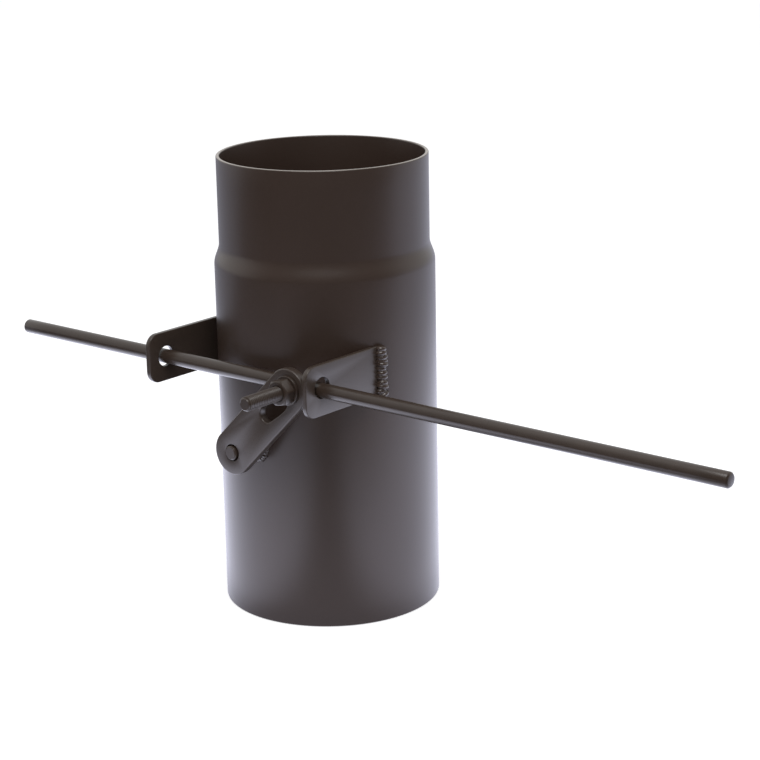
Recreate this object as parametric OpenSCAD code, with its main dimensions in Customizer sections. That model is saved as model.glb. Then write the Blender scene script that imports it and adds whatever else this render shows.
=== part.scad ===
/* [Pipe] */
// Outside diameter of the pipe body
body_d = 124; // [110:1:160]
// Thickness of the pipe sheet
wall = 2; // [1.5:0.1:3]
// Height of the body below the swage
body_h = 196; // [180:1:260]
// Height of the swage between body and spigot
swage_h = 12; // [6:1:20]
// Length of the spigot at the top
spigot_len = 49; // [30:1:70]
// Radial gap between a spigot and the body of the next pipe
spigot_play = 1; // [0.5:0.1:2]
// Depth of the sized socket at the foot
socket_len = 42; // [30:1:60]
// Extra radius of the sized socket
socket_ease = 0.6; // [0.55:0.05:0.8]
// Break of the rim edges
rim_break = 0.4; // [0.2:0.1:0.6]

/* [Guide plates] */
// Thickness of the guide plates
guide_t = 3; // [2:0.5:4]
// Height of the guide plates
guide_h = 28; // [24:1:40]
// Metal in front of the guide holes
guide_edge = 7.25; // [5:0.25:12]
// Corner radius at the free end of the guide plates
guide_corner = 7; // [3:0.5:10]
// How far the right plate's outer face lies inside the pipe's side
guide_right_inset = 4; // [3.5:0.5:8]
// How far the left plate's outer face lies inside the pipe's side
guide_left_inset = 0.5; // [0.5:0.5:4]
// Longest lap of a guide plate along the pipe's side
guide_lap = 7; // [5:0.5:9]
// Radial play of the rod in the guide holes
guide_play = 1.75; // [0.5:0.25:2.5]
// Radius of the weld beads on the guide plates
guide_bead = 3.8; // [2.5:0.1:4.5]

/* [Pull rod] */
// Diameter of the pull rod
rod_d = 8; // [6:0.5:10]
// Gap between the rod and the front of the pipe
rod_gap = 4; // [3.5:0.5:8]
// Length of the rod from the stud to its short end
rod_tail = 218; // [180:1:260]
// Length of the rod from the stud to the end that is pulled
rod_pull = 262; // [180:1:400]
// Chamfer at the rod's ends
rod_chamfer = 0.8; // [0.3:0.1:1.5]
// Rest gap between the rod and the foot of the right guide hole
rest_gap = 0.3; // [0.2:0.05:0.5]

/* [Stud and nut] */
// Thread diameter of the stud
stud_d = 8; // [6:1:10]
// How much the radius of the stud's welded foot is less than the rod's
foot_step = 0.5; // [0.3:0.1:1]
// Gap between the stud's foot and the back of the lever
foot_gap = 0.5; // [0.3:0.1:1]
// Leg of the weld ring on the foot
foot_bead = 1.4; // [1:0.1:2]
// Height of the weld ring on the foot
foot_bead_h = 3; // [2:0.1:4]
// Bare stretch of the foot in front of its weld ring
foot_lip = 0.2; // [0.1:0.1:0.5]
// Diameter of the neck that runs in the slot
neck_d = 5; // [4:0.5:6]
// Length of thread in front of the nut
stud_over = 25; // [10:1:35]
// Chamfer at the stud's end
stud_chamfer = 1; // [0.5:0.1:1.5]
// Width across the nut's flats
nut_flats = 13; // [11:0.5:17]
// Thickness of the nut
nut_h = 6.5; // [5:0.5:8]
// Turn of the nut on the stud
nut_turn = 12; // [0:1:59]
// Outside diameter of the washer
washer_d = 16; // [15:0.5:24]
// Thickness of the washer
washer_t = 1.6; // [1:0.1:2.5]
// Running gap between lever and washer
washer_gap = 0.3; // [0.2:0.05:0.5]

/* [Crank lever] */
// Distance at rest from the stud to the right guide plate
stud_clear = 12; // [12:0.5:16]
// Turn of the damper either side of the upright lever
half_turn = 45; // [35:1:45]
// Width of the lever
lever_w = 25; // [22:0.5:32]
// Thickness of the lever
lever_t = 5; // [3:0.5:6]
// Gap between the rod and the back of the lever
lever_gap = 1.5; // [1.3:0.1:3]
// Gap at rest between the lever's tip and the right guide plate
tip_gap = 0.6; // [0.4:0.1:1.5]
// How far the slot's inner end lies below the stud's lowest place in it
slot_spare = 5.5; // [2:0.5:8]
// Width of the slot's inner end
slot_w = 9; // [8:0.5:10]
// Side play of the neck in the slot
slot_play = 0.3; // [0.2:0.05:0.5]
// Play between the neck and the slot's outer end
stop_play = 0.1; // [0.05:0.05:0.3]

/* [Spindle and blade] */
// Height of the spindle above the foot
pivot_z = 103; // [95:1:110]
// Diameter of the damper spindle
spindle_d = 8; // [7:0.5:12]
// Radial play of the spindle in its bushes
spindle_play = 0.08; // [0.03:0.01:0.1]
// How far the spindle stands out of the lever
spindle_proud = 1.5; // [0.5:0.1:3]
// Wall of the bushes
bush_wall = 4; // [3:0.5:6]
// How far the bushes stand into the pipe
bush_inside = 0.8; // [0.3:0.1:1]
// Gap between the front bush and the lever's weld
bush_gap = 0.5; // [0.3:0.1:1]
// Length of the rear bush outside the pipe
rear_bush_len = 7; // [4:0.5:15]
// Leg of the weld rings round the bushes
bush_bead = 2; // [1.5:0.5:4]
// Height of the weld ring behind the lever
lever_bead = 1.8; // [1:0.1:2]
// Gap between the blade and the pipe's inside
blade_play = 1.5; // [1.3:0.1:4]
// Thickness of the blade
blade_t = 2; // [1:0.5:2.5]
// Distance of the rivets from the pipe's centre
rivet_at = 24; // [15:1:40]
// Diameter of the rivets
rivet_d = 4; // [3:0.5:4]
// Diameter of the rivet heads
rivet_head_d = 7.5; // [6.5:0.5:9]
// Height of the rivet heads
rivet_head_h = 2; // [1.5:0.1:2.6]

/* [View] */
// Sub-part to show

/* [Hidden] */
$fn = 96;
steel = [0.22, 0.21, 0.2];
steel_plate = [0.3, 0.29, 0.29];
bead_steel = [0.4, 0.38, 0.36];
bright = [0.5, 0.5, 0.52];

body_r = body_d / 2;
bore_r = body_r - wall;
spigot_r = bore_r - spigot_play;
spigot_z = body_h + swage_h;
total_h = spigot_z + spigot_len;

guide_right_x = body_r - guide_right_inset;
guide_left_x = body_r - guide_left_inset;
guide_in = guide_right_x - guide_t;

// The crank at rest leans right by half_turn, with the stud at the slot's outer end
stud_x = guide_in - stud_clear;
crank_rise = stud_x / tan(half_turn);
crank_len = crank_rise / cos(half_turn);
tip_len = (guide_in - tip_gap - lever_w / 2) / sin(half_turn);

// Heights and distances in front of the pipe's axis
rod_z = pivot_z + crank_rise;
rod_u = body_r + rod_gap + rod_d / 2;
lever_u = rod_u + rod_d / 2 + lever_gap;
lever_front = lever_u + lever_t;
washer_u = lever_front + washer_gap;
nut_u = washer_u + washer_t;
stud_end = nut_u + nut_h + stud_over;
guide_u = rod_u + rod_d / 2 + guide_play + guide_edge;
bush_d = spindle_d + 2 * bush_wall;
stud_foot_d = rod_d - 2 * foot_step;
foot_end = lever_u - foot_gap;
bush_front = lever_u - lever_bead - bush_gap;
bush_in = bore_r - bush_inside;
rear_end = body_r + rear_bush_len;

// The stud's path in the turning lever leaves the slot's centre line by at most the sway
turn_rad = half_turn * PI / 180;
sway_turn = acos(sqrt(turn_rad / tan(half_turn)));
function slid(a) = stud_x * a / half_turn;
function side(a) = slid(a) * cos(a) - crank_rise * sin(a);
function along(a) = slid(a) * sin(a) + crank_rise * cos(a);
neck_room = neck_d / 2 + slot_play;
slot_low = along(sway_turn * 0.7);
slot_low_r = side(sway_turn * 0.7) + neck_room;
slot_mid = along(sway_turn);
slot_mid_r = side(sway_turn) + neck_room;
slot_end_r = neck_d / 2 + stop_play + 1.8;
slot_start = crank_rise - slot_spare;
slot_end = crank_len + neck_d / 2 + stop_play - slot_end_r;

blade_r = bore_r - blade_play;
blade_seat = blade_r + 0.2;
rivet_seat = spindle_d / 2 - 0.8;

// Side faces look along the front direction, with local y upwards and local z forwards
module facing(x, z) {
    translate([x, 0, z]) rotate([90, 0, 0]) children();
}

module pipe_core(h0, h1) {
    translate([0, 0, h0]) cylinder(h = h1 - h0, r = body_r, $fn = 360);
}

function swage_r(t) = spigot_r + (body_r - spigot_r) * (1 + cos(180 * t)) / 2;
swage_steps = 8;

module pipe() {
    outside = [
        [body_r - rim_break, 0], [body_r, rim_break],
        for (i = [0 : swage_steps]) [swage_r(i / swage_steps), body_h + swage_h * i / swage_steps],
        [spigot_r, total_h - rim_break], [spigot_r - rim_break, total_h]];
    inside = [
        [spigot_r - wall + rim_break, total_h], [spigot_r - wall, total_h - rim_break],
        for (i = [swage_steps : -1 : 0]) [swage_r(i / swage_steps) - wall, body_h + swage_h * i / swage_steps],
        [bore_r, socket_len], [bore_r + socket_ease, socket_len], [bore_r + socket_ease, 0]];
    color(steel) difference() {
        rotate_extrude($fn = 144) polygon(concat(outside, inside));
        facing(0, pivot_z) translate([0, 0, -body_r - 1]) cylinder(h = body_d + 2, r = bush_d / 2);
    }
}

// A plate that stands forwards from the pipe's side, rounded at its free end
module guide_outline(root) {
    translate([root, rod_z - guide_h / 2]) square([guide_u - guide_corner - root, guide_h]);
    translate([guide_u - 2 * guide_corner, rod_z - guide_h / 2 + guide_corner])
        square([2 * guide_corner, guide_h - 2 * guide_corner]);
    for (s = [-1, 1])
        translate([guide_u - guide_corner, rod_z + s * (guide_h / 2 - guide_corner)]) circle(r = guide_corner);
}

function root_u(face) = sqrt(body_r * body_r - (face - guide_t) * (face - guide_t)) - guide_lap;

module guide_plate(face_x, hole_z) {
    root = root_u(max(abs(face_x), abs(face_x - guide_t)));
    difference() {
        translate([face_x, 0, 0]) rotate([90, 0, -90]) linear_extrude(guide_t) difference() {
            guide_outline(root);
            translate([rod_u, hole_z]) circle(r = rod_d / 2 + guide_play);
        }
        pipe_core(rod_z - guide_h, rod_z + guide_h);
    }
}

module guide_left() {
    color(steel_plate) guide_plate(guide_t - guide_left_x, rod_z);
}

module guide_right() {
    color(steel_plate) guide_plate(guide_right_x, rod_z + guide_play - rest_gap);
}

// A bead in the corner between a guide plate's outer face and the pipe
module guide_weld(face, root) {
    reach = sqrt(body_r * body_r - face * face);
    u = max(reach, root) + guide_bead * 0.25;
    difference() {
        translate([face + guide_bead * 0.22, -u, 0]) {
            translate([0, 0, rod_z - guide_h / 2]) cylinder(h = guide_h, r = guide_bead);
            for (s = [-1, 1]) translate([0, 0, rod_z + s * guide_h / 2]) sphere(r = guide_bead, $fn = 48);
        }
        pipe_core(rod_z - guide_h, rod_z + guide_h);
        translate([face - 3 * guide_bead, -guide_u, rod_z - guide_h]) cube([3 * guide_bead, guide_u, 2 * guide_h]);
    }
}

module weld_guide_left() {
    color(bead_steel) mirror([1, 0, 0]) guide_weld(guide_left_x, root_u(guide_left_x));
}

module weld_guide_right() {
    color(bead_steel) guide_weld(guide_right_x, root_u(guide_right_x));
}

module front_bush() {
    color(steel) facing(0, pivot_z) difference() {
        translate([0, 0, bush_in]) cylinder(h = bush_front - bush_in, r = bush_d / 2);
        translate([0, 0, bush_in - 1]) cylinder(h = bush_front - bush_in + 2, r = spindle_d / 2 + spindle_play);
    }
}

module rear_bush() {
    color(steel) facing(0, pivot_z) difference() {
        translate([0, 0, -rear_end]) cylinder(h = rear_end - bush_in, r = bush_d / 2);
        translate([0, 0, -rear_end - 1]) cylinder(h = rear_end - bush_in + 2, r = spindle_d / 2 + spindle_play);
    }
}

module bush_weld() {
    difference() {
        facing(0, pivot_z) translate([0, 0, body_r - 1.5])
            cylinder(h = 1.5 + bush_bead, r1 = bush_d / 2 + bush_bead + 1.5, r2 = bush_d / 2);
        pipe_core(pivot_z - bush_d, pivot_z + bush_d);
        facing(0, pivot_z) cylinder(h = body_d, r = bush_d / 2);
    }
}

module weld_front_bush() {
    color(bead_steel) bush_weld();
}

module weld_rear_bush() {
    color(bead_steel) mirror([0, 1, 0]) bush_weld();
}

module rod_bar() {
    translate([stud_x - rod_tail, -rod_u, rod_z]) rotate([0, 90, 0]) {
        cylinder(h = rod_chamfer, r1 = rod_d / 2 - rod_chamfer, r2 = rod_d / 2);
        translate([0, 0, rod_chamfer]) cylinder(h = rod_tail + rod_pull - 2 * rod_chamfer, r = rod_d / 2);
        translate([0, 0, rod_tail + rod_pull - rod_chamfer])
            cylinder(h = rod_chamfer, r1 = rod_d / 2, r2 = rod_d / 2 - rod_chamfer);
    }
}

module rod_core() {
    translate([stud_x - stud_d, -rod_u, rod_z]) rotate([0, 90, 0]) cylinder(h = 2 * stud_d, r = rod_d / 2);
}

module pull_rod() {
    color(steel) rod_bar();
}

// Foot on the rod, neck through the lever's slot, thread for the nut
module stud() {
    color(steel) difference() {
        facing(stud_x, rod_z) {
            translate([0, 0, rod_u]) cylinder(h = foot_end - rod_u, r = stud_foot_d / 2);
            translate([0, 0, foot_end]) cylinder(h = washer_u - foot_end, r = neck_d / 2);
            translate([0, 0, washer_u]) cylinder(h = stud_end - stud_chamfer - washer_u, r = stud_d / 2);
            translate([0, 0, stud_end - stud_chamfer])
                cylinder(h = stud_chamfer, r1 = stud_d / 2, r2 = stud_d / 2 - stud_chamfer);
        }
        rod_core();
    }
}

module weld_stud() {
    color(bead_steel) difference() {
        facing(stud_x, rod_z) translate([0, 0, foot_end - foot_lip - foot_bead_h])
            cylinder(h = foot_bead_h, r1 = stud_foot_d / 2 + foot_bead, r2 = (stud_foot_d + foot_lip) / 2);
        facing(stud_x, rod_z) translate([0, 0, rod_u]) cylinder(h = rod_d, r = stud_foot_d / 2);
        rod_core();
    }
}

module stud_washer() {
    color(steel) facing(stud_x, rod_z) translate([0, 0, washer_u]) difference() {
        cylinder(h = washer_t, r = washer_d / 2);
        translate([0, 0, -1]) cylinder(h = washer_t + 2, r = stud_d / 2 + 0.2);
    }
}

module stud_nut() {
    flat_r = nut_flats / 2;
    corner_r = flat_r / cos(30);
    edge = (corner_r - flat_r) * tan(30);
    color(steel) facing(stud_x, rod_z) translate([0, 0, nut_u]) difference() {
        intersection() {
            rotate([0, 0, nut_turn]) cylinder(h = nut_h, r = corner_r, $fn = 6);
            union() {
                cylinder(h = edge, r1 = flat_r, r2 = corner_r);
                translate([0, 0, edge]) cylinder(h = nut_h - 2 * edge, r = corner_r);
                translate([0, 0, nut_h - edge]) cylinder(h = edge, r1 = corner_r, r2 = flat_r);
            }
        }
        translate([0, 0, -1]) cylinder(h = nut_h + 2, r = stud_d / 2 + 0.05);
    }
}

// Filled outline of a row of circles on the y axis: round ends, and straight sides that touch each pair
module link(row) {
    last = len(row) - 1;
    flank = [for (i = [0 : last - 1]) let (lean = asin((row[i][1] - row[i + 1][1]) / (row[i + 1][0] - row[i][0])))
        for (end = [row[i], row[i + 1]]) [end[1] * cos(lean), end[0] + end[1] * sin(lean)]];
    for (end = [row[0], row[last]]) translate([0, end[0]]) circle(r = end[1]);
    polygon(concat(flank, [for (i = [2 * last - 1 : -1 : 0]) [-flank[i][0], flank[i][1]]]));
}

module lever() {
    color(steel_plate) facing(0, pivot_z) rotate([0, 0, -half_turn]) difference() {
        translate([0, 0, lever_u]) linear_extrude(lever_t) difference() {
            link([[0, lever_w / 2], [tip_len, lever_w / 2]]);
            circle(r = spindle_d / 2);
            link([[slot_start, slot_w / 2], [slot_low, slot_low_r], [slot_mid, slot_mid_r], [slot_end, slot_end_r]]);
        }
        translate([0, 0, lever_front - 0.6]) cylinder(h = 1, r1 = spindle_d / 2, r2 = spindle_d / 2 + 1);
    }
}

module weld_lever() {
    color(bead_steel) facing(0, pivot_z) translate([0, 0, lever_u - lever_bead]) difference() {
        cylinder(h = lever_bead, r1 = spindle_d / 2 + 0.6, r2 = spindle_d / 2 + lever_bead);
        translate([0, 0, -1]) cylinder(h = lever_bead + 2, r = spindle_d / 2);
    }
}

// A round bar with a slot that the blade lies in, seen from above as a full shaft at both ends
module spindle() {
    front = lever_front + spindle_proud;
    rear = rear_end + 0.8;
    tip = 0.8;
    color(bright) facing(0, pivot_z) difference() {
        union() {
            translate([0, 0, -rear]) cylinder(h = tip, r1 = spindle_d / 2 - tip, r2 = spindle_d / 2);
            translate([0, 0, tip - rear]) cylinder(h = rear + front - 2 * tip, r = spindle_d / 2);
            translate([0, 0, front - tip]) cylinder(h = tip, r1 = spindle_d / 2, r2 = spindle_d / 2 - tip);
        }
        translate([-blade_t / 2, -spindle_d, -blade_seat]) cube([blade_t, 2 * spindle_d, 2 * blade_seat]);
        for (s = [-1, 1]) translate([0, 0, s * rivet_at]) rotate([0, 90, 0]) {
            translate([0, 0, -spindle_d]) cylinder(h = 2 * spindle_d, r = rivet_d / 2);
            for (e = [rivet_seat, -rivet_seat - spindle_d])
                translate([0, 0, e]) cylinder(h = spindle_d, r = rivet_head_d / 2 + 0.3);
        }
    }
}

module blade() {
    color(bright) facing(0, pivot_z) rotate([0, 90, 0]) translate([0, 0, -blade_t / 2]) difference() {
        cylinder(h = blade_t, r = blade_r, $fn = 144);
        for (s = [-1, 1]) translate([-s * rivet_at, 0, -1]) cylinder(h = blade_t + 2, r = rivet_d / 2);
    }
}

module rivet(at) {
    color(bright) facing(0, pivot_z) translate([0, 0, at]) rotate([0, 90, 0]) {
        translate([0, 0, -rivet_seat]) cylinder(h = 2 * rivet_seat, r = rivet_d / 2);
        for (s = [0, 180]) rotate([s, 0, 0]) translate([0, 0, rivet_seat]) {
            cylinder(h = rivet_head_h * 0.4, r = rivet_head_d / 2);
            translate([0, 0, rivet_head_h * 0.4])
                cylinder(h = rivet_head_h * 0.6, r1 = rivet_head_d / 2, r2 = rivet_head_d * 0.28);
        }
    }
}

module rivet_front() {
    rivet(rivet_at);
}

module rivet_rear() {
    rivet(-rivet_at);
}

pipe();
guide_left();
guide_right();
weld_guide_left();
weld_guide_right();
front_bush();
weld_front_bush();
rear_bush();
weld_rear_bush();
pull_rod();
stud();
weld_stud();
stud_washer();
stud_nut();
lever();
weld_lever();
spindle();
blade();
rivet_front();
rivet_rear();
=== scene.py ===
import math
import bpy
import bmesh
from mathutils import Matrix, Vector


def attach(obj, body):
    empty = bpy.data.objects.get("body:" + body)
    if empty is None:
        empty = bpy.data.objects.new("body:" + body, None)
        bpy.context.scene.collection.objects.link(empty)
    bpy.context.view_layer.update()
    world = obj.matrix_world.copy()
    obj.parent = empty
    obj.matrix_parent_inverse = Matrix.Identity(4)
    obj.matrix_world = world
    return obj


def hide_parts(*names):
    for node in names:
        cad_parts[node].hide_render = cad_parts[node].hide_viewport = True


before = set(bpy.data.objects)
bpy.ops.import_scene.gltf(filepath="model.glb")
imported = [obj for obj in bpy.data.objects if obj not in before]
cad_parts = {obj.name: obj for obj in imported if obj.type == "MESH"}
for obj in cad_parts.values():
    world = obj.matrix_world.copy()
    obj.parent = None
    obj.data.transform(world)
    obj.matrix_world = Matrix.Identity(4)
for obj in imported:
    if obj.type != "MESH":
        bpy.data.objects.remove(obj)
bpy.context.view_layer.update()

mm = 0.001
scene = bpy.context.scene

# camera: to the right of the lever side and a little above it
viewpoint = {
    "turn": 40.145, "rise": 15.945, "roll": -1.095,  # degrees
    "distance": 1199.2, "aimRight": 29.63, "aimHeight": 125.11,  # mm
    "fieldOfView": 20.504,
}


def addCamera(v):
    turn, rise, roll = (math.radians(v[k]) for k in ("turn", "rise", "roll"))
    flat = math.cos(rise)
    back = Vector((math.sin(turn) * flat, -math.cos(turn) * flat, math.sin(rise)))
    right = Vector((math.cos(turn), math.sin(turn), 0))
    up = back.cross(right)
    across = math.cos(roll) * right + math.sin(roll) * up
    upright = -math.sin(roll) * right + math.cos(roll) * up
    data = bpy.data.cameras.new("camera")
    data.angle = math.radians(v["fieldOfView"])
    data.clip_start, data.clip_end = 0.05, 30
    camera = bpy.data.objects.new("camera", data)
    camera.matrix_world = Matrix((across, upright, back)).transposed().to_4x4()
    aim = right * v["aimRight"] + Vector((0, 0, v["aimHeight"]))
    camera.location = (aim + back * v["distance"]) * mm
    scene.collection.objects.link(camera)
    scene.camera = camera


addCamera(viewpoint)
print("camera set")


# node helpers and colours
def addNode(tree, kind, inputs=None, **settings):
    node = tree.nodes.new(kind)
    for key, value in settings.items():
        setattr(node, key, value)
    for key, value in (inputs or {}).items():
        if isinstance(value, bpy.types.NodeSocket):
            tree.links.new(value, node.inputs[key])
        else:
            node.inputs[key].default_value = value
    return node


def linearColour(code):
    parts = [int(code[i:i + 2], 16) / 255 for i in (1, 3, 5)]
    return [p / 12.92 if p <= 0.04045 else ((p + 0.055) / 1.055) ** 2.4 for p in parts] + [1]


def maths(tree, operation, a, b):
    return addNode(tree, "ShaderNodeMath", {0: a, 1: b}, operation=operation).outputs[0]


def vectorMaths(tree, operation, inputs, result="Vector"):
    return addNode(tree, "ShaderNodeVectorMath", inputs, operation=operation).outputs[result]


def remap(tree, value, span, to, kind="LINEAR"):
    ends = {"From Min": span[0], "From Max": span[1], "To Min": to[0], "To Max": to[1]}
    made = addNode(tree, "ShaderNodeMapRange", {"Value": value, **ends}, interpolation_type=kind)
    return made.outputs["Result"]


def noise(tree, place, size, detail):
    settings = {"Vector": place, "Scale": 1 / (size * mm), "Detail": detail}
    return addNode(tree, "ShaderNodeTexNoise", settings).outputs["Fac"]


def blend(tree, factor, a, b):
    made = addNode(tree, "ShaderNodeMix", {"Factor": factor, "A": a, "B": b}, data_type="RGBA")
    return made.outputs["Result"]


def newMaterial(name):
    material = bpy.data.materials.new(name)
    material.use_nodes = True
    material.node_tree.nodes.clear()
    return material, material.node_tree


# the pipe's upper edge, painted as bright bare steel: a painted highlight for the thin bright line along the
# rim; heights in mm
rimHighlightBand = {"above": 256.7, "depth": 0.3, "steel": "#A39C95"}


# heat-resistant silicone paint, sprayed on steel: satin, brown-black, with a trace of orange peel
def stovePaint(name, look, rim):
    material, tree = newMaterial(name)
    place = addNode(tree, "ShaderNodeTexCoord").outputs["Object"]
    cloud = noise(tree, place, look["cloudSize"], 3.0)
    dust = noise(tree, place, look["dustSize"], 2.0)
    peel = noise(tree, place, look["peelSize"], 1.0)
    tint = blend(tree, cloud, linearColour(look["dark"]), linearColour(look["light"]))
    fleck = remap(tree, dust, (0.35, 0.7), (0.94, 1.08))
    shade = vectorMaths(tree, "SCALE", {0: tint, 3: fleck})
    least, most = look["rough"] - look["roughSpread"], look["rough"] + look["roughSpread"]
    rough = remap(tree, dust, (0.3, 0.7), (least, most))
    height = addNode(tree, "ShaderNodeMix", {"Factor": 0.35, "A": peel, "B": dust}).outputs["Result"]
    relief = {"Height": height, "Strength": look["peelStrength"], "Distance": look["peelDepth"] * mm}
    bump = addNode(tree, "ShaderNodeBump", relief).outputs["Normal"]
    up = addNode(tree, "ShaderNodeSeparateXYZ", {"Vector": place}).outputs["Z"]
    # painted highlight: above the rim height the paint turns to bright metallic steel, made patchy by the
    # dust noise
    edge = (rim["above"] * mm, (rim["above"] + rim["depth"]) * mm)
    rimGlintRamp = remap(tree, up, edge, (0.0, 1.0), "SMOOTHSTEP")
    patchy = remap(tree, dust, (0.25, 0.5), (0.35, 1.0), "SMOOTHSTEP")
    rimGlint = maths(tree, "MULTIPLY", rimGlintRamp, patchy)
    colour = blend(tree, rimGlint, shade, linearColour(rim["steel"]))
    coat = {"Base Color": colour, "Metallic": rimGlint, "Roughness": rough, "IOR": look["ior"], "Normal": bump}
    surface = addNode(tree, "ShaderNodeBsdfPrincipled", coat)
    addNode(tree, "ShaderNodeOutputMaterial", {"Surface": surface.outputs["BSDF"]})
    return material


# cold-rolled mild steel, left bare: grey metal with fine rolling lines and a dull oxide bloom
def rolledSteel(name, look):
    material, tree = newMaterial(name)
    place = addNode(tree, "ShaderNodeTexCoord").outputs["Object"]
    drawn = addNode(tree, "ShaderNodeMapping", {"Vector": place, "Scale": (1.0, 1.0, look["lineStretch"])})
    lines = noise(tree, drawn.outputs["Vector"], look["lineSize"], 2.0)
    bloom = noise(tree, place, look["bloomSize"], 4.0)
    tint = blend(tree, bloom, linearColour(look["dark"]), linearColour(look["light"]))
    least, most = look["rough"] - look["roughSpread"], look["rough"] + look["roughSpread"]
    rough = remap(tree, lines, (0.3, 0.7), (least, most))
    relief = {"Height": lines, "Strength": look["lineStrength"], "Distance": look["lineDepth"] * mm}
    bump = addNode(tree, "ShaderNodeBump", relief).outputs["Normal"]
    metal = {"Base Color": tint, "Metallic": 1.0, "Roughness": rough, "Normal": bump}
    surface = addNode(tree, "ShaderNodeBsdfPrincipled", metal)
    addNode(tree, "ShaderNodeOutputMaterial", {"Surface": surface.outputs["BSDF"]})
    return material


# sizes in mm; the peel of a real spray coat is about 1 mm from crest to crest
paintLooks = {
    "pipe": {"dark": "#32261F", "light": "#3B2E28", "cloudSize": 60, "dustSize": 0.45, "peelSize": 1.3,
             "peelStrength": 0.35, "peelDepth": 0.03, "rough": 0.34, "roughSpread": 0.03, "ior": 1.5},
    "plate": {"dark": "#352C28", "light": "#40362F", "cloudSize": 22, "dustSize": 0.4, "peelSize": 1.2,
              "peelStrength": 0.35, "peelDepth": 0.03, "rough": 0.3, "roughSpread": 0.03, "ior": 1.5},
    "bead": {"dark": "#342A25", "light": "#40342E", "cloudSize": 4, "dustSize": 0.35, "peelSize": 0.9,
             "peelStrength": 0.5, "peelDepth": 0.05, "rough": 0.24, "roughSpread": 0.04, "ior": 1.5},
    "fastener": {"dark": "#302620", "light": "#3A2F28", "cloudSize": 9, "dustSize": 0.4, "peelSize": 1.0,
                 "peelStrength": 0.3, "peelDepth": 0.03, "rough": 0.3, "roughSpread": 0.03, "ior": 1.5},
}
steelLook = {"dark": "#8A8782", "light": "#A7A49E", "lineStretch": 0.05, "lineSize": 0.3,
             "lineStrength": 0.25, "lineDepth": 0.02, "bloomSize": 14, "rough": 0.42, "roughSpread": 0.06}
pipePaint = stovePaint("satinStovePaintSheet", paintLooks["pipe"], rimHighlightBand)
platePaint = stovePaint("satinStovePaintPlate", paintLooks["plate"], rimHighlightBand)
beadPaint = stovePaint("satinStovePaintBead", paintLooks["bead"], rimHighlightBand)
fastenerPaint = stovePaint("satinStovePaintFastener", paintLooks["fastener"], rimHighlightBand)
bareSteel = rolledSteel("coldRolledSteel", steelLook)
print("materials made")


# mesh helpers
def linkMesh(name, mesh, material):
    mesh.materials.append(material)
    made = bpy.data.objects.new(name, mesh)
    scene.collection.objects.link(made)
    return made


def meshObject(name, verts, faces, material):
    mesh = bpy.data.meshes.new(name)
    mesh.from_pydata([tuple(v) for v in verts], [], faces)
    mesh.validate()
    return linkMesh(name, mesh, material)


def shadeByAngle(made, degrees):
    made.data.polygons.foreach_set("use_smooth", [True] * len(made.data.polygons))
    made.data.set_sharp_from_angle(angle=math.radians(degrees))


def bakeModifiers(made):
    seen = made.evaluated_get(bpy.context.evaluated_depsgraph_get())
    plain = bpy.data.meshes.new_from_object(seen)
    made.modifiers.clear()
    old, made.data = made.data, plain
    plain.name = made.name
    bpy.data.meshes.remove(old)


# joins closed columns of points, side by side, into a closed ring
def ringFaces(columns, count):
    faces = []
    for i in range(columns):
        a, b = i * count, (i + 1) % columns * count
        for k in range(count):
            n = (k + 1) % count
            faces.append((a + k, b + k, b + n, a + n))
    return faces


# a closed profile of (radius, height) in mm, turned about Z; where() places each point
def turned(name, profile, steps, material, where, angle=30):
    verts = []
    for i in range(steps):
        a = 2 * math.pi * i / steps
        verts += [where(Vector((r * math.cos(a), r * math.sin(a), h)) * mm) for r, h in profile]
    made = meshObject(name, verts, ringFaces(steps, len(profile)), material)
    shadeByAngle(made, angle)
    return made


# points along an arc in degrees, for a rounded corner or a round end
def arcPoints(cx, cy, r, start, turn, steps):
    angles = [math.radians(start + turn * i / steps) for i in range(steps + 1)]
    return [(cx + r * math.cos(a), cy + r * math.sin(a)) for a in angles]


# the four rounded corners of a tube's wall, from its low outer corner round to its low inner one
def tubeProfile(outer, inner, low, high, e, steps=5):
    centres = [(outer - e, low + e), (outer - e, high - e), (inner + e, high - e), (inner + e, low + e)]
    profile = []
    for (r, h), start in zip(centres, (-90, 0, 90, 180)):
        profile += arcPoints(r, h, e, start, 90, steps)
    return profile


def circleAngles(count):
    return [2 * math.pi * i / count for i in range(count)]


# places: upright on the pipe's axis; out along the spindle, which points forward; out along the stud
spindle = {"height": 103}
stud = {"x": 43, "height": 146, "root": 72.5, "foot": 3.5, "footEnd": 75, "neck": 2.5, "neckEnd": 80.8,
        "radius": 4, "end": 113.9, "chamfer": 1.0, "shoulder": 0.3,
        "pitch": 1.25, "depth": 0.3, "rowsPerPitch": 10, "steps": 64}


def onAxis(p):
    return p


def onSpindle(p):
    return Vector((p.x, -p.z, p.y + spindle["height"] * mm))


def onStud(p):
    return Vector((stud["x"] * mm + p.x, -p.z, stud["height"] * mm + p.y))


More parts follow.
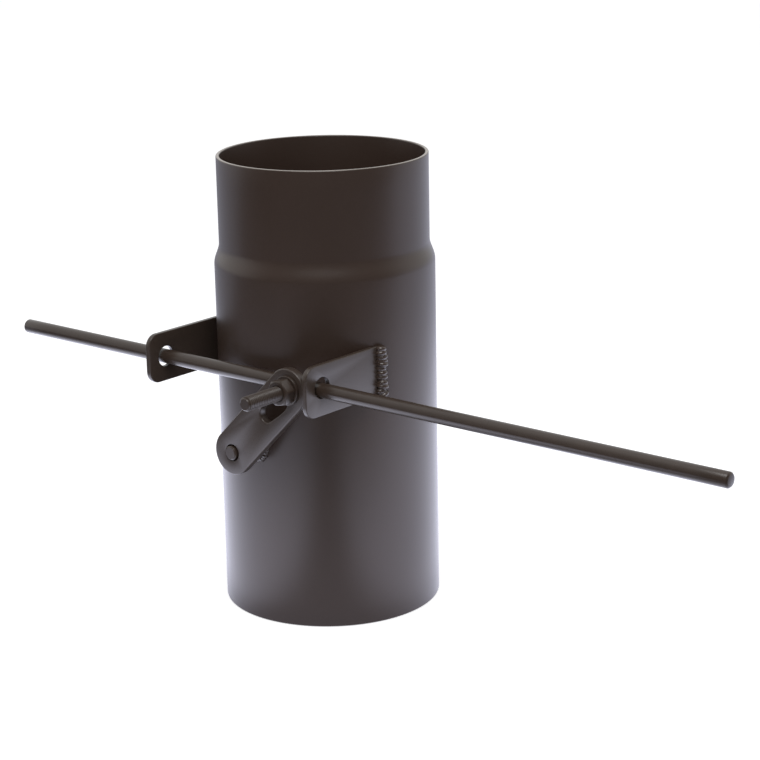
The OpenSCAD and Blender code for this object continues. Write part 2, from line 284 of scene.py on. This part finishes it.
# a flat plate from outlines: each outline(inset) gives (u, v) points in mm
# the first outline is the rim, the rest are holes
def plate(name, outlines, low, high, rounding, material, where, steps=4):
    rings = []  # (inset, height) from the back face round the edge to the front face
    for i in range(steps + 1):
        a = math.pi / 2 * i / steps
        rings.append((rounding * (1 - math.sin(a)), low + rounding * (1 - math.cos(a))))
    rings += [(inset, low + high - h) for inset, h in reversed(rings)]
    built = bmesh.new()
    caps = {0: [], len(rings) - 1: []}
    for outline in outlines:
        loops = []
        for inset, h in rings:
            loops.append([built.verts.new(where(u * mm, v * mm, h * mm)) for u, v in outline(inset)])
        count = len(loops[0])
        for a, b in zip(loops, loops[1:]):
            for i in range(count):
                n = (i + 1) % count
                built.faces.new((a[i], a[n], b[n], b[i]))
        for k, edges in caps.items():
            loop = loops[k]
            edges += [built.edges.get((loop[i], loop[(i + 1) % count])) for i in range(count)]
    for edges in caps.values():
        bmesh.ops.triangle_fill(built, use_beauty=True, edges=edges)
    bmesh.ops.recalc_face_normals(built, faces=built.faces)
    mesh = bpy.data.meshes.new(name)
    built.to_mesh(mesh)
    built.free()
    made = linkMesh(name, mesh, material)
    shadeByAngle(made, 40)
    return made


def circleOutline(cx, cy, r, steps=72):
    return lambda inset: arcPoints(cx, cy, r + inset, 0, 360 * (steps - 1) / steps, steps - 1)


# outline round a row of (height, radius) circles, straight sides touching each pair; grow is +1 for a hole
def rowOutline(row, grow, steps=28):
    def outline(inset):
        circles = [(y, r + grow * inset) for y, r in row]
        pairs = list(zip(circles, circles[1:]))
        leans = [math.degrees(math.asin((a[1] - b[1]) / (b[0] - a[0]))) for a, b in pairs]
        side = []
        for pair, lean in zip(pairs, leans):
            across, along = math.cos(math.radians(lean)), math.sin(math.radians(lean))
            side += [(r * across, y + r * along) for y, r in pair]
        (y0, r0), (y1, r1) = circles[0], circles[-1]
        top = arcPoints(0, y1, r1, leans[-1], 180 - 2 * leans[-1], steps)
        foot = arcPoints(0, y0, r0, 180 - leans[0], 180 + 2 * leans[0], steps)
        return side[1:-1] + top + [(-x, y) for x, y in reversed(side[1:-1])] + foot
    return outline


# pipe: rolled sheet with a narrowed upper end and rounded rims
pipeSizes = {
    "radius": 62, "wall": 2, "bodyHeight": 196, "swageHeight": 12, "spigotRadius": 59, "height": 257,
    "socketRadius": 60.6, "socketDepth": 42, "rimRounding": 0.7, "swageSteps": 20, "steps": 360,
    "bodyRows": range(12, 196, 12), "spigotRows": range(220, 252, 8), "innerRows": range(180, 42, -16),
    "holeRadius": 8, "holeReach": 90, "holeSteps": 72,
}


def swagePoints(s, inset):
    points = []
    for i in range(s["swageSteps"] + 1):
        t = i / s["swageSteps"]
        r = s["spigotRadius"] + (s["radius"] - s["spigotRadius"]) * (1 + math.cos(math.pi * t)) / 2
        points.append((r - inset, s["bodyHeight"] + s["swageHeight"] * t))
    return points


def makePipe(s):
    e, r, n, top = s["rimRounding"], s["radius"], s["spigotRadius"], s["height"]
    bore = r - s["wall"]
    outside = arcPoints(r - e, e, e, -90, 90, 5) + [(r, h) for h in s["bodyRows"]] + swagePoints(s, 0)
    outside += [(n, h) for h in s["spigotRows"]] + arcPoints(n - e, top - e, e, 0, 90, 5)
    inside = arcPoints(n - s["wall"] + e, top - e, e, 90, 90, 5) + swagePoints(s, s["wall"])[::-1]
    inside += [(bore, h) for h in s["innerRows"]] + [(bore, s["socketDepth"])]
    inside += [(s["socketRadius"], s["socketDepth"]), (s["socketRadius"], 0)]
    shell = turned("pipeShell", outside + inside, s["steps"], pipePaint, onAxis)
    reach, hole = s["holeReach"], s["holeRadius"]
    core = [(0.001, -reach), (hole, -reach), (hole, reach), (0.001, reach)]
    drill = turned("bushDrill", core, s["holeSteps"], pipePaint, onSpindle)
    cut = shell.modifiers.new("bushHoles", "BOOLEAN")
    cut.operation, cut.solver, cut.object = "DIFFERENCE", "EXACT", drill
    bakeModifiers(shell)
    bpy.data.objects.remove(drill)
    shadeByAngle(shell, 30)
    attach(shell, "flue")
    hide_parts("pipe")


makePipe(pipeSizes)
print("pipe made")

# guide plates: flame-cut plate with rounded free corners and a hole for the rod
guides = {
    "thickness": 3, "height": 28, "reach": 83, "corner": 7, "rounding": 0.55, "centre": 146,
    "holeRadius": 5.75, "holeOut": 70, "rootRadius": 61.3,
    "right": {"low": 55, "hole": 147.45}, "left": {"low": -61.5, "hole": 146},
}


def makeGuide(s, side, node):
    low = s[side]["low"]
    z0, z1, u1, c = s["centre"] - s["height"] / 2, s["centre"] + s["height"] / 2, s["reach"], s["corner"]

    def outline(inset):
        points = [(0, z0 + inset)]
        points += arcPoints(u1 - c, z0 + c, c - inset, -90, 90, 14)
        points += arcPoints(u1 - c, z1 - c, c - inset, 0, 90, 14)
        return points + [(0, z1 - inset)]

    def where(u, v, h):  # u is the distance in front, h the place along X; u of 0 is the pipe's wall
        wall = math.sqrt(max((s["rootRadius"] * mm) ** 2 - h * h, 0))
        return Vector((h, -(u if u > 0 else wall), v))

    hole = circleOutline(s["holeOut"], s[side]["hole"], s["holeRadius"])
    name = node.replace("_", "") + "Plate"
    made = plate(name, [outline, hole], low, low + s["thickness"], s["rounding"], platePaint, where)
    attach(made, "flue")
    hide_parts(node)


makeGuide(guides, "right", "guide_right")
makeGuide(guides, "left", "guide_left")
print("guide plates made")

# bushes: short thick tube for the spindle
bushes = {"radius": 8, "bore": 4.08, "rounding": 0.5, "steps": 96,
          "front": (59.2, 73.2), "rear": (-69, -59.2)}


def makeBush(s, side, node):
    profile = tubeProfile(s["radius"], s["bore"], *s[side], s["rounding"])
    made = turned(side + "Bush", profile, s["steps"], pipePaint, onSpindle)
    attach(made, "flue")
    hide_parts(node)


makeBush(bushes, "front", "front_bush")
makeBush(bushes, "rear", "rear_bush")


# helpers for the node trees that make and change geometry
def newGeometryTree(name, inputs):
    tree = bpy.data.node_groups.new(name, "GeometryNodeTree")
    tree.is_modifier = True
    for title, kind in {"Geometry": "Geometry", **inputs, "Material": "Material"}.items():
        tree.interface.new_socket(title, in_out="INPUT", socket_type="NodeSocket" + kind)
    tree.interface.new_socket("Geometry", in_out="OUTPUT", socket_type="NodeSocketGeometry")
    return tree, addNode(tree, "NodeGroupInput").outputs


def endGeometryTree(tree, geometry, material):
    dressed = addNode(tree, "GeometryNodeSetMaterial", {"Geometry": geometry, "Material": material})
    addNode(tree, "NodeGroupOutput", {"Geometry": dressed.outputs["Geometry"]})
    return tree


def setInputs(modifier, values):
    for item in modifier.node_group.interface.items_tree:
        if item.item_type == "SOCKET" and item.in_out == "INPUT" and item.name in values:
            modifier[item.identifier] = values[item.name]


# weld beads: overlapping drops along a path, melted together
def beadTree():
    floats = ("Spacing", "Drop Radius", "Drop Length", "Wander", "Unevenness")
    tree, given = newGeometryTree("weldBead", {**{k: "Float" for k in floats}, "Seed": "Int"})
    seed, wander, uneven = given["Seed"], given["Wander"], given["Unevenness"]
    path = addNode(tree, "GeometryNodeMeshToCurve", {"Mesh": given["Geometry"]}).outputs["Curve"]
    even = {"Curve": path, "Length": given["Spacing"]}
    steps = addNode(tree, "GeometryNodeResampleCurve", even, mode="LENGTH").outputs["Curve"]
    less = maths(tree, "MULTIPLY", wander, -1.0)
    low = addNode(tree, "ShaderNodeCombineXYZ", {"X": less, "Y": less, "Z": less}).outputs[0]
    high = addNode(tree, "ShaderNodeCombineXYZ", {"X": wander, "Y": wander, "Z": wander}).outputs[0]
    span = {0: low, 1: high, "Seed": seed}
    stray = addNode(tree, "FunctionNodeRandomValue", span, data_type="FLOAT_VECTOR").outputs[0]
    moved = addNode(tree, "GeometryNodeSetPosition", {"Geometry": steps, "Offset": stray}).outputs["Geometry"]
    ends = {2: maths(tree, "SUBTRACT", 1.0, uneven), 3: maths(tree, "ADD", 1.0, uneven)}
    size = addNode(tree, "FunctionNodeRandomValue", {**ends, "Seed": seed}, data_type="FLOAT").outputs[1]
    across = maths(tree, "MULTIPLY", size, given["Drop Radius"])
    spread = {"X": across, "Y": across, "Z": given["Drop Length"]}
    scale = addNode(tree, "ShaderNodeCombineXYZ", spread).outputs[0]
    along = addNode(tree, "GeometryNodeInputTangent").outputs[0]
    facing = addNode(tree, "FunctionNodeAlignRotationToVector", {"Vector": along}, axis="Z").outputs[0]
    drop = addNode(tree, "GeometryNodeMeshIcoSphere", {"Radius": 1.0, "Subdivisions": 4}).outputs["Mesh"]
    laid = {"Points": moved, "Instance": drop, "Rotation": facing, "Scale": scale}
    copies = addNode(tree, "GeometryNodeInstanceOnPoints", laid)
    real = addNode(tree, "GeometryNodeRealizeInstances", {"Geometry": copies.outputs["Instances"]})
    return endGeometryTree(tree, real.outputs["Geometry"], given["Material"])


weldTree = beadTree()


def makeBead(name, node, body, points, closed, look):
    mesh = bpy.data.meshes.new(name)
    count = len(points)
    edges = [(i, (i + 1) % count) for i in range(count if closed else count - 1)]
    mesh.from_pydata([tuple(p * mm) for p in points], edges, [])
    made = bpy.data.objects.new(name, mesh)
    scene.collection.objects.link(made)
    drops = made.modifiers.new("drops", "NODES")
    drops.node_group = weldTree
    setInputs(drops, {"Spacing": look["spacing"] * mm, "Drop Radius": look["radius"] * mm,
                      "Drop Length": look["length"] * mm, "Wander": look["wander"] * mm,
                      "Unevenness": look["uneven"], "Seed": look["seed"], "Material": beadPaint})
    bakeModifiers(made)
    melt = made.modifiers.new("melt", "REMESH")
    melt.mode, melt.voxel_size = "VOXEL", look["voxel"] * mm
    calm = made.modifiers.new("calm", "SMOOTH")
    calm.factor, calm.iterations = 0.5, look["calm"]
    bakeModifiers(made)
    made.data.materials.clear()
    made.data.materials.append(beadPaint)
    made.data.polygons.foreach_set("use_smooth", [True] * len(made.data.polygons))
    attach(made, body)
    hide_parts(node)


guideBead = {"spacing": 2.3, "radius": 3.5, "length": 1.9, "wander": 0.55, "uneven": 0.13, "seed": 4,
             "voxel": 0.3, "calm": 3}
ringBead = {"spacing": 1.7, "radius": 1.9, "length": 1.4, "wander": 0.15, "uneven": 0.1, "seed": 7,
            "voxel": 0.22, "calm": 3}
smallBead = {"spacing": 1.3, "radius": 1.15, "length": 1.0, "wander": 0.08, "uneven": 0.08, "seed": 2,
             "voxel": 0.18, "calm": 2}
# each path's place in mm: x and distance in front for the plates, a ring's radius for the round ones
beadPaths = {
    "right": (58.9, 22.4), "left": (-62.0, 13.4), "low": 133, "high": 159,
    "bushRing": 8.4, "wallRadius": 62, "proud": 0.1, "leverRing": 4.7, "leverOut": 75.25,
    "studRing": 3.6, "rodRadius": 4, "rodOut": 70,
}


def upright(s, side, steps=12):
    x, out = s[side]
    return [Vector((x, -out, s["low"] + (s["high"] - s["low"]) * i / steps)) for i in range(steps + 1)]


def aroundBush(s, side):
    r, points = s["bushRing"], []
    for a in circleAngles(48):
        x = r * math.cos(a)
        out = math.sqrt(s["wallRadius"] ** 2 - x ** 2) + s["proud"]
        points.append(Vector((x, -side * out, spindle["height"] + r * math.sin(a))))
    return points


def behindLever(s):
    r, points = s["leverRing"], []
    for a in circleAngles(36):
        points.append(Vector((r * math.cos(a), -s["leverOut"], spindle["height"] + r * math.sin(a))))
    return points


def roundStudFoot(s):
    r, points = s["studRing"], []
    for a in circleAngles(36):
        up = r * math.sin(a)
        out = s["rodOut"] + math.sqrt(s["rodRadius"] ** 2 - up ** 2)
        points.append(Vector((stud["x"] + r * math.cos(a), -out, stud["height"] + up)))
    return points


makeBead("guideWeldRight", "weld_guide_right", "flue", upright(beadPaths, "right"), False, guideBead)
otherGuideBead, otherRingBead = {**guideBead, "seed": 9}, {**ringBead, "seed": 12}
makeBead("guideWeldLeft", "weld_guide_left", "flue", upright(beadPaths, "left"), False, otherGuideBead)
makeBead("frontBushWeld", "weld_front_bush", "flue", aroundBush(beadPaths, 1), True, ringBead)
makeBead("rearBushWeld", "weld_rear_bush", "flue", aroundBush(beadPaths, -1), True, otherRingBead)
makeBead("leverWeld", "weld_lever", "damper", behindLever(beadPaths), True, smallBead)
makeBead("studWeld", "weld_stud", "rod", roundStudFoot(beadPaths), True, smallBead)
print("weld beads made")

# pull rod: drawn round bar with broken ends
rod = {"radius": 4, "low": -175, "high": 305, "out": 70, "height": 146, "chamfer": 0.8, "steps": 64,
       "rowSpacing": 20}


def makeRod(s):
    r, e, low, high = s["radius"], s["chamfer"], s["low"], s["high"]
    end = [(0.0005, 0), (r - e - 0.3, 0), (r - e, 0.1), (r - 0.1, e), (r, e + 0.3)]  # (radius, way in)
    profile = [(x, low + d) for x, d in end]
    profile += [(r, h) for h in range(low + s["rowSpacing"], high, s["rowSpacing"])]
    profile += [(x, high - d) for x, d in reversed(end)]

    def alongX(p):
        return Vector((p.z, -s["out"] * mm + p.y, s["height"] * mm - p.x))

    made = turned("pullRod", profile, s["steps"], fastenerPaint, alongX)
    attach(made, "rod")
    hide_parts("pull_rod")


makeRod(rod)


# stud: threaded end, bare neck in the slot, foot welded to the rod; the tree presses the thread into it
def threadTree():
    floats = ("Pitch", "Depth", "Start", "End", "Radius")
    tree, given = newGeometryTree("cutThread", {**{k: "Float" for k in floats}, "Axis": "Vector"})
    here = addNode(tree, "GeometryNodeInputPosition").outputs[0]
    local = vectorMaths(tree, "SUBTRACT", {0: here, 1: given["Axis"]})
    parts = addNode(tree, "ShaderNodeSeparateXYZ", {0: local}).outputs
    share = maths(tree, "DIVIDE", maths(tree, "ARCTAN2", parts["Z"], parts["X"]), 2 * math.pi)
    ahead = maths(tree, "MULTIPLY", parts["Y"], -1.0)
    phase = maths(tree, "SUBTRACT", maths(tree, "DIVIDE", ahead, given["Pitch"]), share)
    wave = maths(tree, "PINGPONG", phase, 0.5)
    slope = remap(tree, wave, (0.1, 0.4), (0.0, 1.0), "SMOOTHSTEP")
    after = maths(tree, "GREATER_THAN", ahead, given["Start"])
    before = maths(tree, "LESS_THAN", ahead, given["End"])
    amount = maths(tree, "MULTIPLY", slope, maths(tree, "MULTIPLY", after, before))
    inward = maths(tree, "MULTIPLY", amount, maths(tree, "DIVIDE", given["Depth"], given["Radius"]))
    flat = addNode(tree, "ShaderNodeCombineXYZ", {"X": parts["X"], "Z": parts["Z"]}).outputs[0]
    offset = vectorMaths(tree, "SCALE", {0: flat, 3: maths(tree, "MULTIPLY", inward, -1.0)})
    cut = addNode(tree, "GeometryNodeSetPosition", {"Geometry": given["Geometry"], "Offset": offset})
    return endGeometryTree(tree, cut.outputs["Geometry"], given["Material"])


def makeStud(s):
    r, b, start, end = s["radius"], s["shoulder"], s["neckEnd"], s["end"]
    rows = int((end - start) / s["pitch"] * s["rowsPerPitch"])
    heights = [start + b + (end - start - b) * i / rows for i in range(rows + 1)]
    profile = [(0.0005, s["root"]), (s["foot"], s["root"]), (s["foot"], s["footEnd"] - b)]
    profile += [(s["foot"] - b, s["footEnd"]), (s["neck"], s["footEnd"]), (s["neck"], start), (r - b, start)]
    profile += [(min(r, r - s["chamfer"] + (end - h)), h) for h in heights] + [(0.0005, end)]
    made = turned("threadedStud", profile, s["steps"], fastenerPaint, onStud)
    thread = made.modifiers.new("thread", "NODES")
    thread.node_group = threadTree()
    setInputs(thread, {"Pitch": s["pitch"] * mm, "Depth": s["depth"] * mm, "Start": (start + 0.2) * mm,
                       "End": (end - 0.05) * mm, "Radius": r * mm, "Material": fastenerPaint,
                       "Axis": (s["x"] * mm, 0.0, s["height"] * mm)})
    bakeModifiers(made)
    shadeByAngle(made, 35)
    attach(made, "rod")
    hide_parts("stud")


makeStud(stud)

# nut and washer: pressed hexagon nut with turned corners, plain washer
nut = {"flats": 13, "low": 82.4, "high": 88.9, "turn": 12, "bore": 4.02, "cornerRounding": 0.5,
       "boreChamfer": 0.5, "edge": 0.12, "faceInset": 0.35, "cornerTurn": 30}
washer = {"radius": 8, "bore": 4.2, "low": 80.8, "high": 82.4, "rounding": 0.3, "steps": 96}


# hexagon with small rounds at the corners and points along its flats
def hexagonRing(s):
    c, ring = s["cornerRounding"], []
    reach = (s["flats"] / 2 - c) / math.cos(math.pi / 6)

    def corner(i, lean):
        a, b = math.radians(60 * i + s["turn"]), math.radians(60 * i + s["turn"] + lean)
        return Vector((reach * math.cos(a) + c * math.cos(b), reach * math.sin(a) + c * math.sin(b), 0))

    for i in range(6):
        ring += [corner(i, lean) for lean in (-30, -18, -6, 6, 18, 30)]
        ring += [corner(i, 30).lerp(corner(i + 1, -30), t / 6) for t in (1, 2, 3, 4, 5)]
    return ring


def makeNut(s):
    low, high, face, edge = s["low"], s["high"], s["flats"] / 2 - s["faceInset"], s["edge"]
    slope, ring, verts = math.tan(math.radians(s["cornerTurn"])), hexagonRing(s), []
    for p in ring:
        r, d = p.length, p.normalized()
        drop = max(r - face, 0) * slope
        half = [(s["bore"], s["boreChamfer"]), (s["bore"] + s["boreChamfer"], 0), (face - 0.2, 0),
                (face + 0.05, 0.03), (r - edge, drop), (r, drop + edge)]  # (radius, way in from the face)
        column = [(k, low + way) for k, way in half] + [(k, high - way) for k, way in reversed(half)]
        verts += [onStud(Vector((d.x * k, d.y * k, h)) * mm) for k, h in column]
    made = meshObject("hexNut", verts, ringFaces(len(ring), len(column)), fastenerPaint)
    shadeByAngle(made, 24)
    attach(made, "rod")
    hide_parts("stud_nut")


def makeWasher(s):
    profile = tubeProfile(s["radius"], s["bore"], s["low"], s["high"], s["rounding"])
    made = turned("plainWasher", profile, s["steps"], fastenerPaint, onStud)
    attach(made, "rod")
    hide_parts("stud_washer")


makeNut(nut)
makeWasher(washer)
print("rod, stud, nut and washer made")

# crank lever: flame-cut plate, slotted for the stud, leaning half a quarter turn at rest
lever = {"halfWidth": 12.5, "tip": 59.26, "low": 75.5, "high": 80.5, "lean": 45, "rounding": 0.8,
         "spindleHole": 4.5, "slot": [(37.5, 4.5), (46.686, 5.995), (50.324, 6.251), (59.011, 4.4)]}


def makeLever(s):
    across, along = math.cos(math.radians(s["lean"])), math.sin(math.radians(s["lean"]))

    def where(u, v, h):
        return Vector((u * across + v * along, -h, spindle["height"] * mm - u * along + v * across))

    rim = rowOutline([(0, s["halfWidth"]), (s["tip"], s["halfWidth"])], -1, 40)
    outlines = [rim, circleOutline(0, 0, s["spindleHole"], 60), rowOutline(s["slot"], 1)]
    made = plate("crankLever", outlines, s["low"], s["high"], s["rounding"], platePaint, where)
    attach(made, "damper")
    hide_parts("lever")


makeLever(lever)
print("lever made")

# carried-over solids: the spindle is painted with the rest, the blade and rivets inside are bare
finishes = {"spindle": fastenerPaint, "blade": bareSteel, "rivet_front": bareSteel, "rivet_rear": bareSteel}
for name, finish in finishes.items():
    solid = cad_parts[name]
    if not solid.material_slots:
        solid.data.materials.append(finish)
    for held in solid.material_slots:
        held.material = finish
print("carried-over solids dressed")

# studio: a white paper floor in a dark room with a softbox above and in front
# what the paint mirrors is set apart from what the camera sees; places and distances in metres
studio = {
    "reach": 4.0, "drop": 0.0003, "glow": 0.58, "white": "#E6E6E8", "ambient": 0.54, "cool": "#EAECFF",
    "towardsCamera": (0.643, -0.766, 0), "towardsLeft": (-0.766, -0.643, 0),
    # where the mirrored paper starts and ends to dim, and what is left of it
    "front": (0.10, 0.52, 0.06), "left": (0.22, 0.50, 0.10), "behind": (-0.30, -0.05, 0.5),
    "far": (0.30, 0.75, 0.42), "room": (-0.25, 0.55, 0.12),
    # where the extra glow seen only in reflections rises on either side, and how much it adds: painted
    # reflection light standing in for lamps beside the object
    "leftMirrorGlow": (0.04, 0.10, 2.2), "rightMirrorGlow": (0.02, 0.10, 1.9),
    "softbox": {"place": (0.34, -0.44, 1.15), "aim": (0, 0, 0.1), "size": 0.7, "watts": 8.0},
}


def dim(tree, value, band):
    return remap(tree, value, band[:2], (1.0, band[2]), "SMOOTHSTEP")


def rise(tree, value, band):
    return remap(tree, value, band[:2], (0.0, band[2]), "SMOOTHSTEP")


def makeFloor(s):
    material, tree = newMaterial("whiteSweep")
    ray = addNode(tree, "ShaderNodeLightPath").outputs
    place = addNode(tree, "ShaderNodeNewGeometry").outputs
    spot = place["Position"]
    ahead = vectorMaths(tree, "DOT_PRODUCT", {0: spot, 1: s["towardsCamera"]}, "Value")
    leftwards = vectorMaths(tree, "DOT_PRODUCT", {0: spot, 1: s["towardsLeft"]}, "Value")
    rightwards = maths(tree, "MULTIPLY", leftwards, -1.0)
    away = vectorMaths(tree, "LENGTH", {0: spot}, "Value")
    behind = remap(tree, ahead, s["behind"][:2], (s["behind"][2], 0.0), "SMOOTHSTEP")
    side = maths(tree, "MAXIMUM", dim(tree, leftwards, s["left"]), behind)
    near = maths(tree, "MULTIPLY", dim(tree, ahead, s["front"]), dim(tree, away, s["far"]))
    # painted reflection light: the floor glows brighter on both sides, for glossy rays only
    sideMirrorGlow = maths(tree, "ADD", rise(tree, leftwards, s["leftMirrorGlow"]), rise(tree, rightwards, s["rightMirrorGlow"]))
    level = maths(tree, "MULTIPLY", maths(tree, "MULTIPLY", near, side), maths(tree, "ADD", sideMirrorGlow, 1.0))
    seen = maths(tree, "MULTIPLY", ray["Is Camera Ray"], s["glow"])
    mirrored = maths(tree, "MULTIPLY", ray["Is Glossy Ray"], level)
    tone = blend(tree, ray["Is Glossy Ray"], (1, 1, 1, 1), linearColour(s["cool"]))
    light = {"Color": tone, "Strength": maths(tree, "ADD", seen, mirrored)}
    glow = addNode(tree, "ShaderNodeEmission", light).outputs[0]
    matt = addNode(tree, "ShaderNodeBsdfDiffuse", {"Color": linearColour(s["white"])}).outputs[0]
    unlit = addNode(tree, "ShaderNodeEmission", {"Strength": 0.0}).outputs[0]
    paper = addNode(tree, "ShaderNodeMixShader", {0: ray["Is Glossy Ray"], 1: matt, 2: unlit}).outputs[0]
    both = addNode(tree, "ShaderNodeAddShader", {0: glow, 1: paper}).outputs[0]
    clear = addNode(tree, "ShaderNodeBsdfTransparent").outputs[0]
    surface = addNode(tree, "ShaderNodeMixShader", {0: place["Backfacing"], 1: both, 2: clear}).outputs[0]
    addNode(tree, "ShaderNodeOutputMaterial", {"Surface": surface})
    r, z = s["reach"], -s["drop"]
    corners = [(-r, -r, z), (r, -r, z), (r, r, z), (-r, r, z)]
    meshObject("floor", corners, [(0, 1, 2, 3)], material)


def makeWorld(s):
    world = bpy.data.worlds.new("studio")
    scene.world = world
    world.use_nodes = True
    tree = world.node_tree
    tree.nodes.clear()
    ray = addNode(tree, "ShaderNodeLightPath").outputs
    heading = addNode(tree, "ShaderNodeTexCoord").outputs["Generated"]
    ahead = vectorMaths(tree, "DOT_PRODUCT", {0: heading, 1: s["towardsCamera"]}, "Value")
    mirrored = maths(tree, "MULTIPLY", ray["Is Glossy Ray"], dim(tree, ahead, s["room"]))
    seen = maths(tree, "ADD", ray["Is Camera Ray"], mirrored)
    rest = maths(tree, "SUBTRACT", 1.0, maths(tree, "MAXIMUM", ray["Is Camera Ray"], ray["Is Glossy Ray"]))
    level = maths(tree, "ADD", seen, maths(tree, "MULTIPLY", rest, s["ambient"]))
    light = addNode(tree, "ShaderNodeBackground", {"Color": (1, 1, 1, 1), "Strength": level})
    addNode(tree, "ShaderNodeOutputWorld", {"Surface": light.outputs[0]})


def addLamp(name, s):
    data = bpy.data.lights.new(name, "AREA")
    data.size, data.energy = s["size"], s["watts"]
    lamp = bpy.data.objects.new(name, data)
    lamp.location = s["place"]
    lamp.rotation_mode = "QUATERNION"
    lamp.rotation_quaternion = (Vector(s["aim"]) - Vector(s["place"])).to_track_quat("-Z", "Y")
    lamp.visible_camera = False
    scene.collection.objects.link(lamp)


makeFloor(studio)
makeWorld(studio)
addLamp("softbox", studio["softbox"])
scene.view_settings.view_transform = "Standard"
print("studio lit")
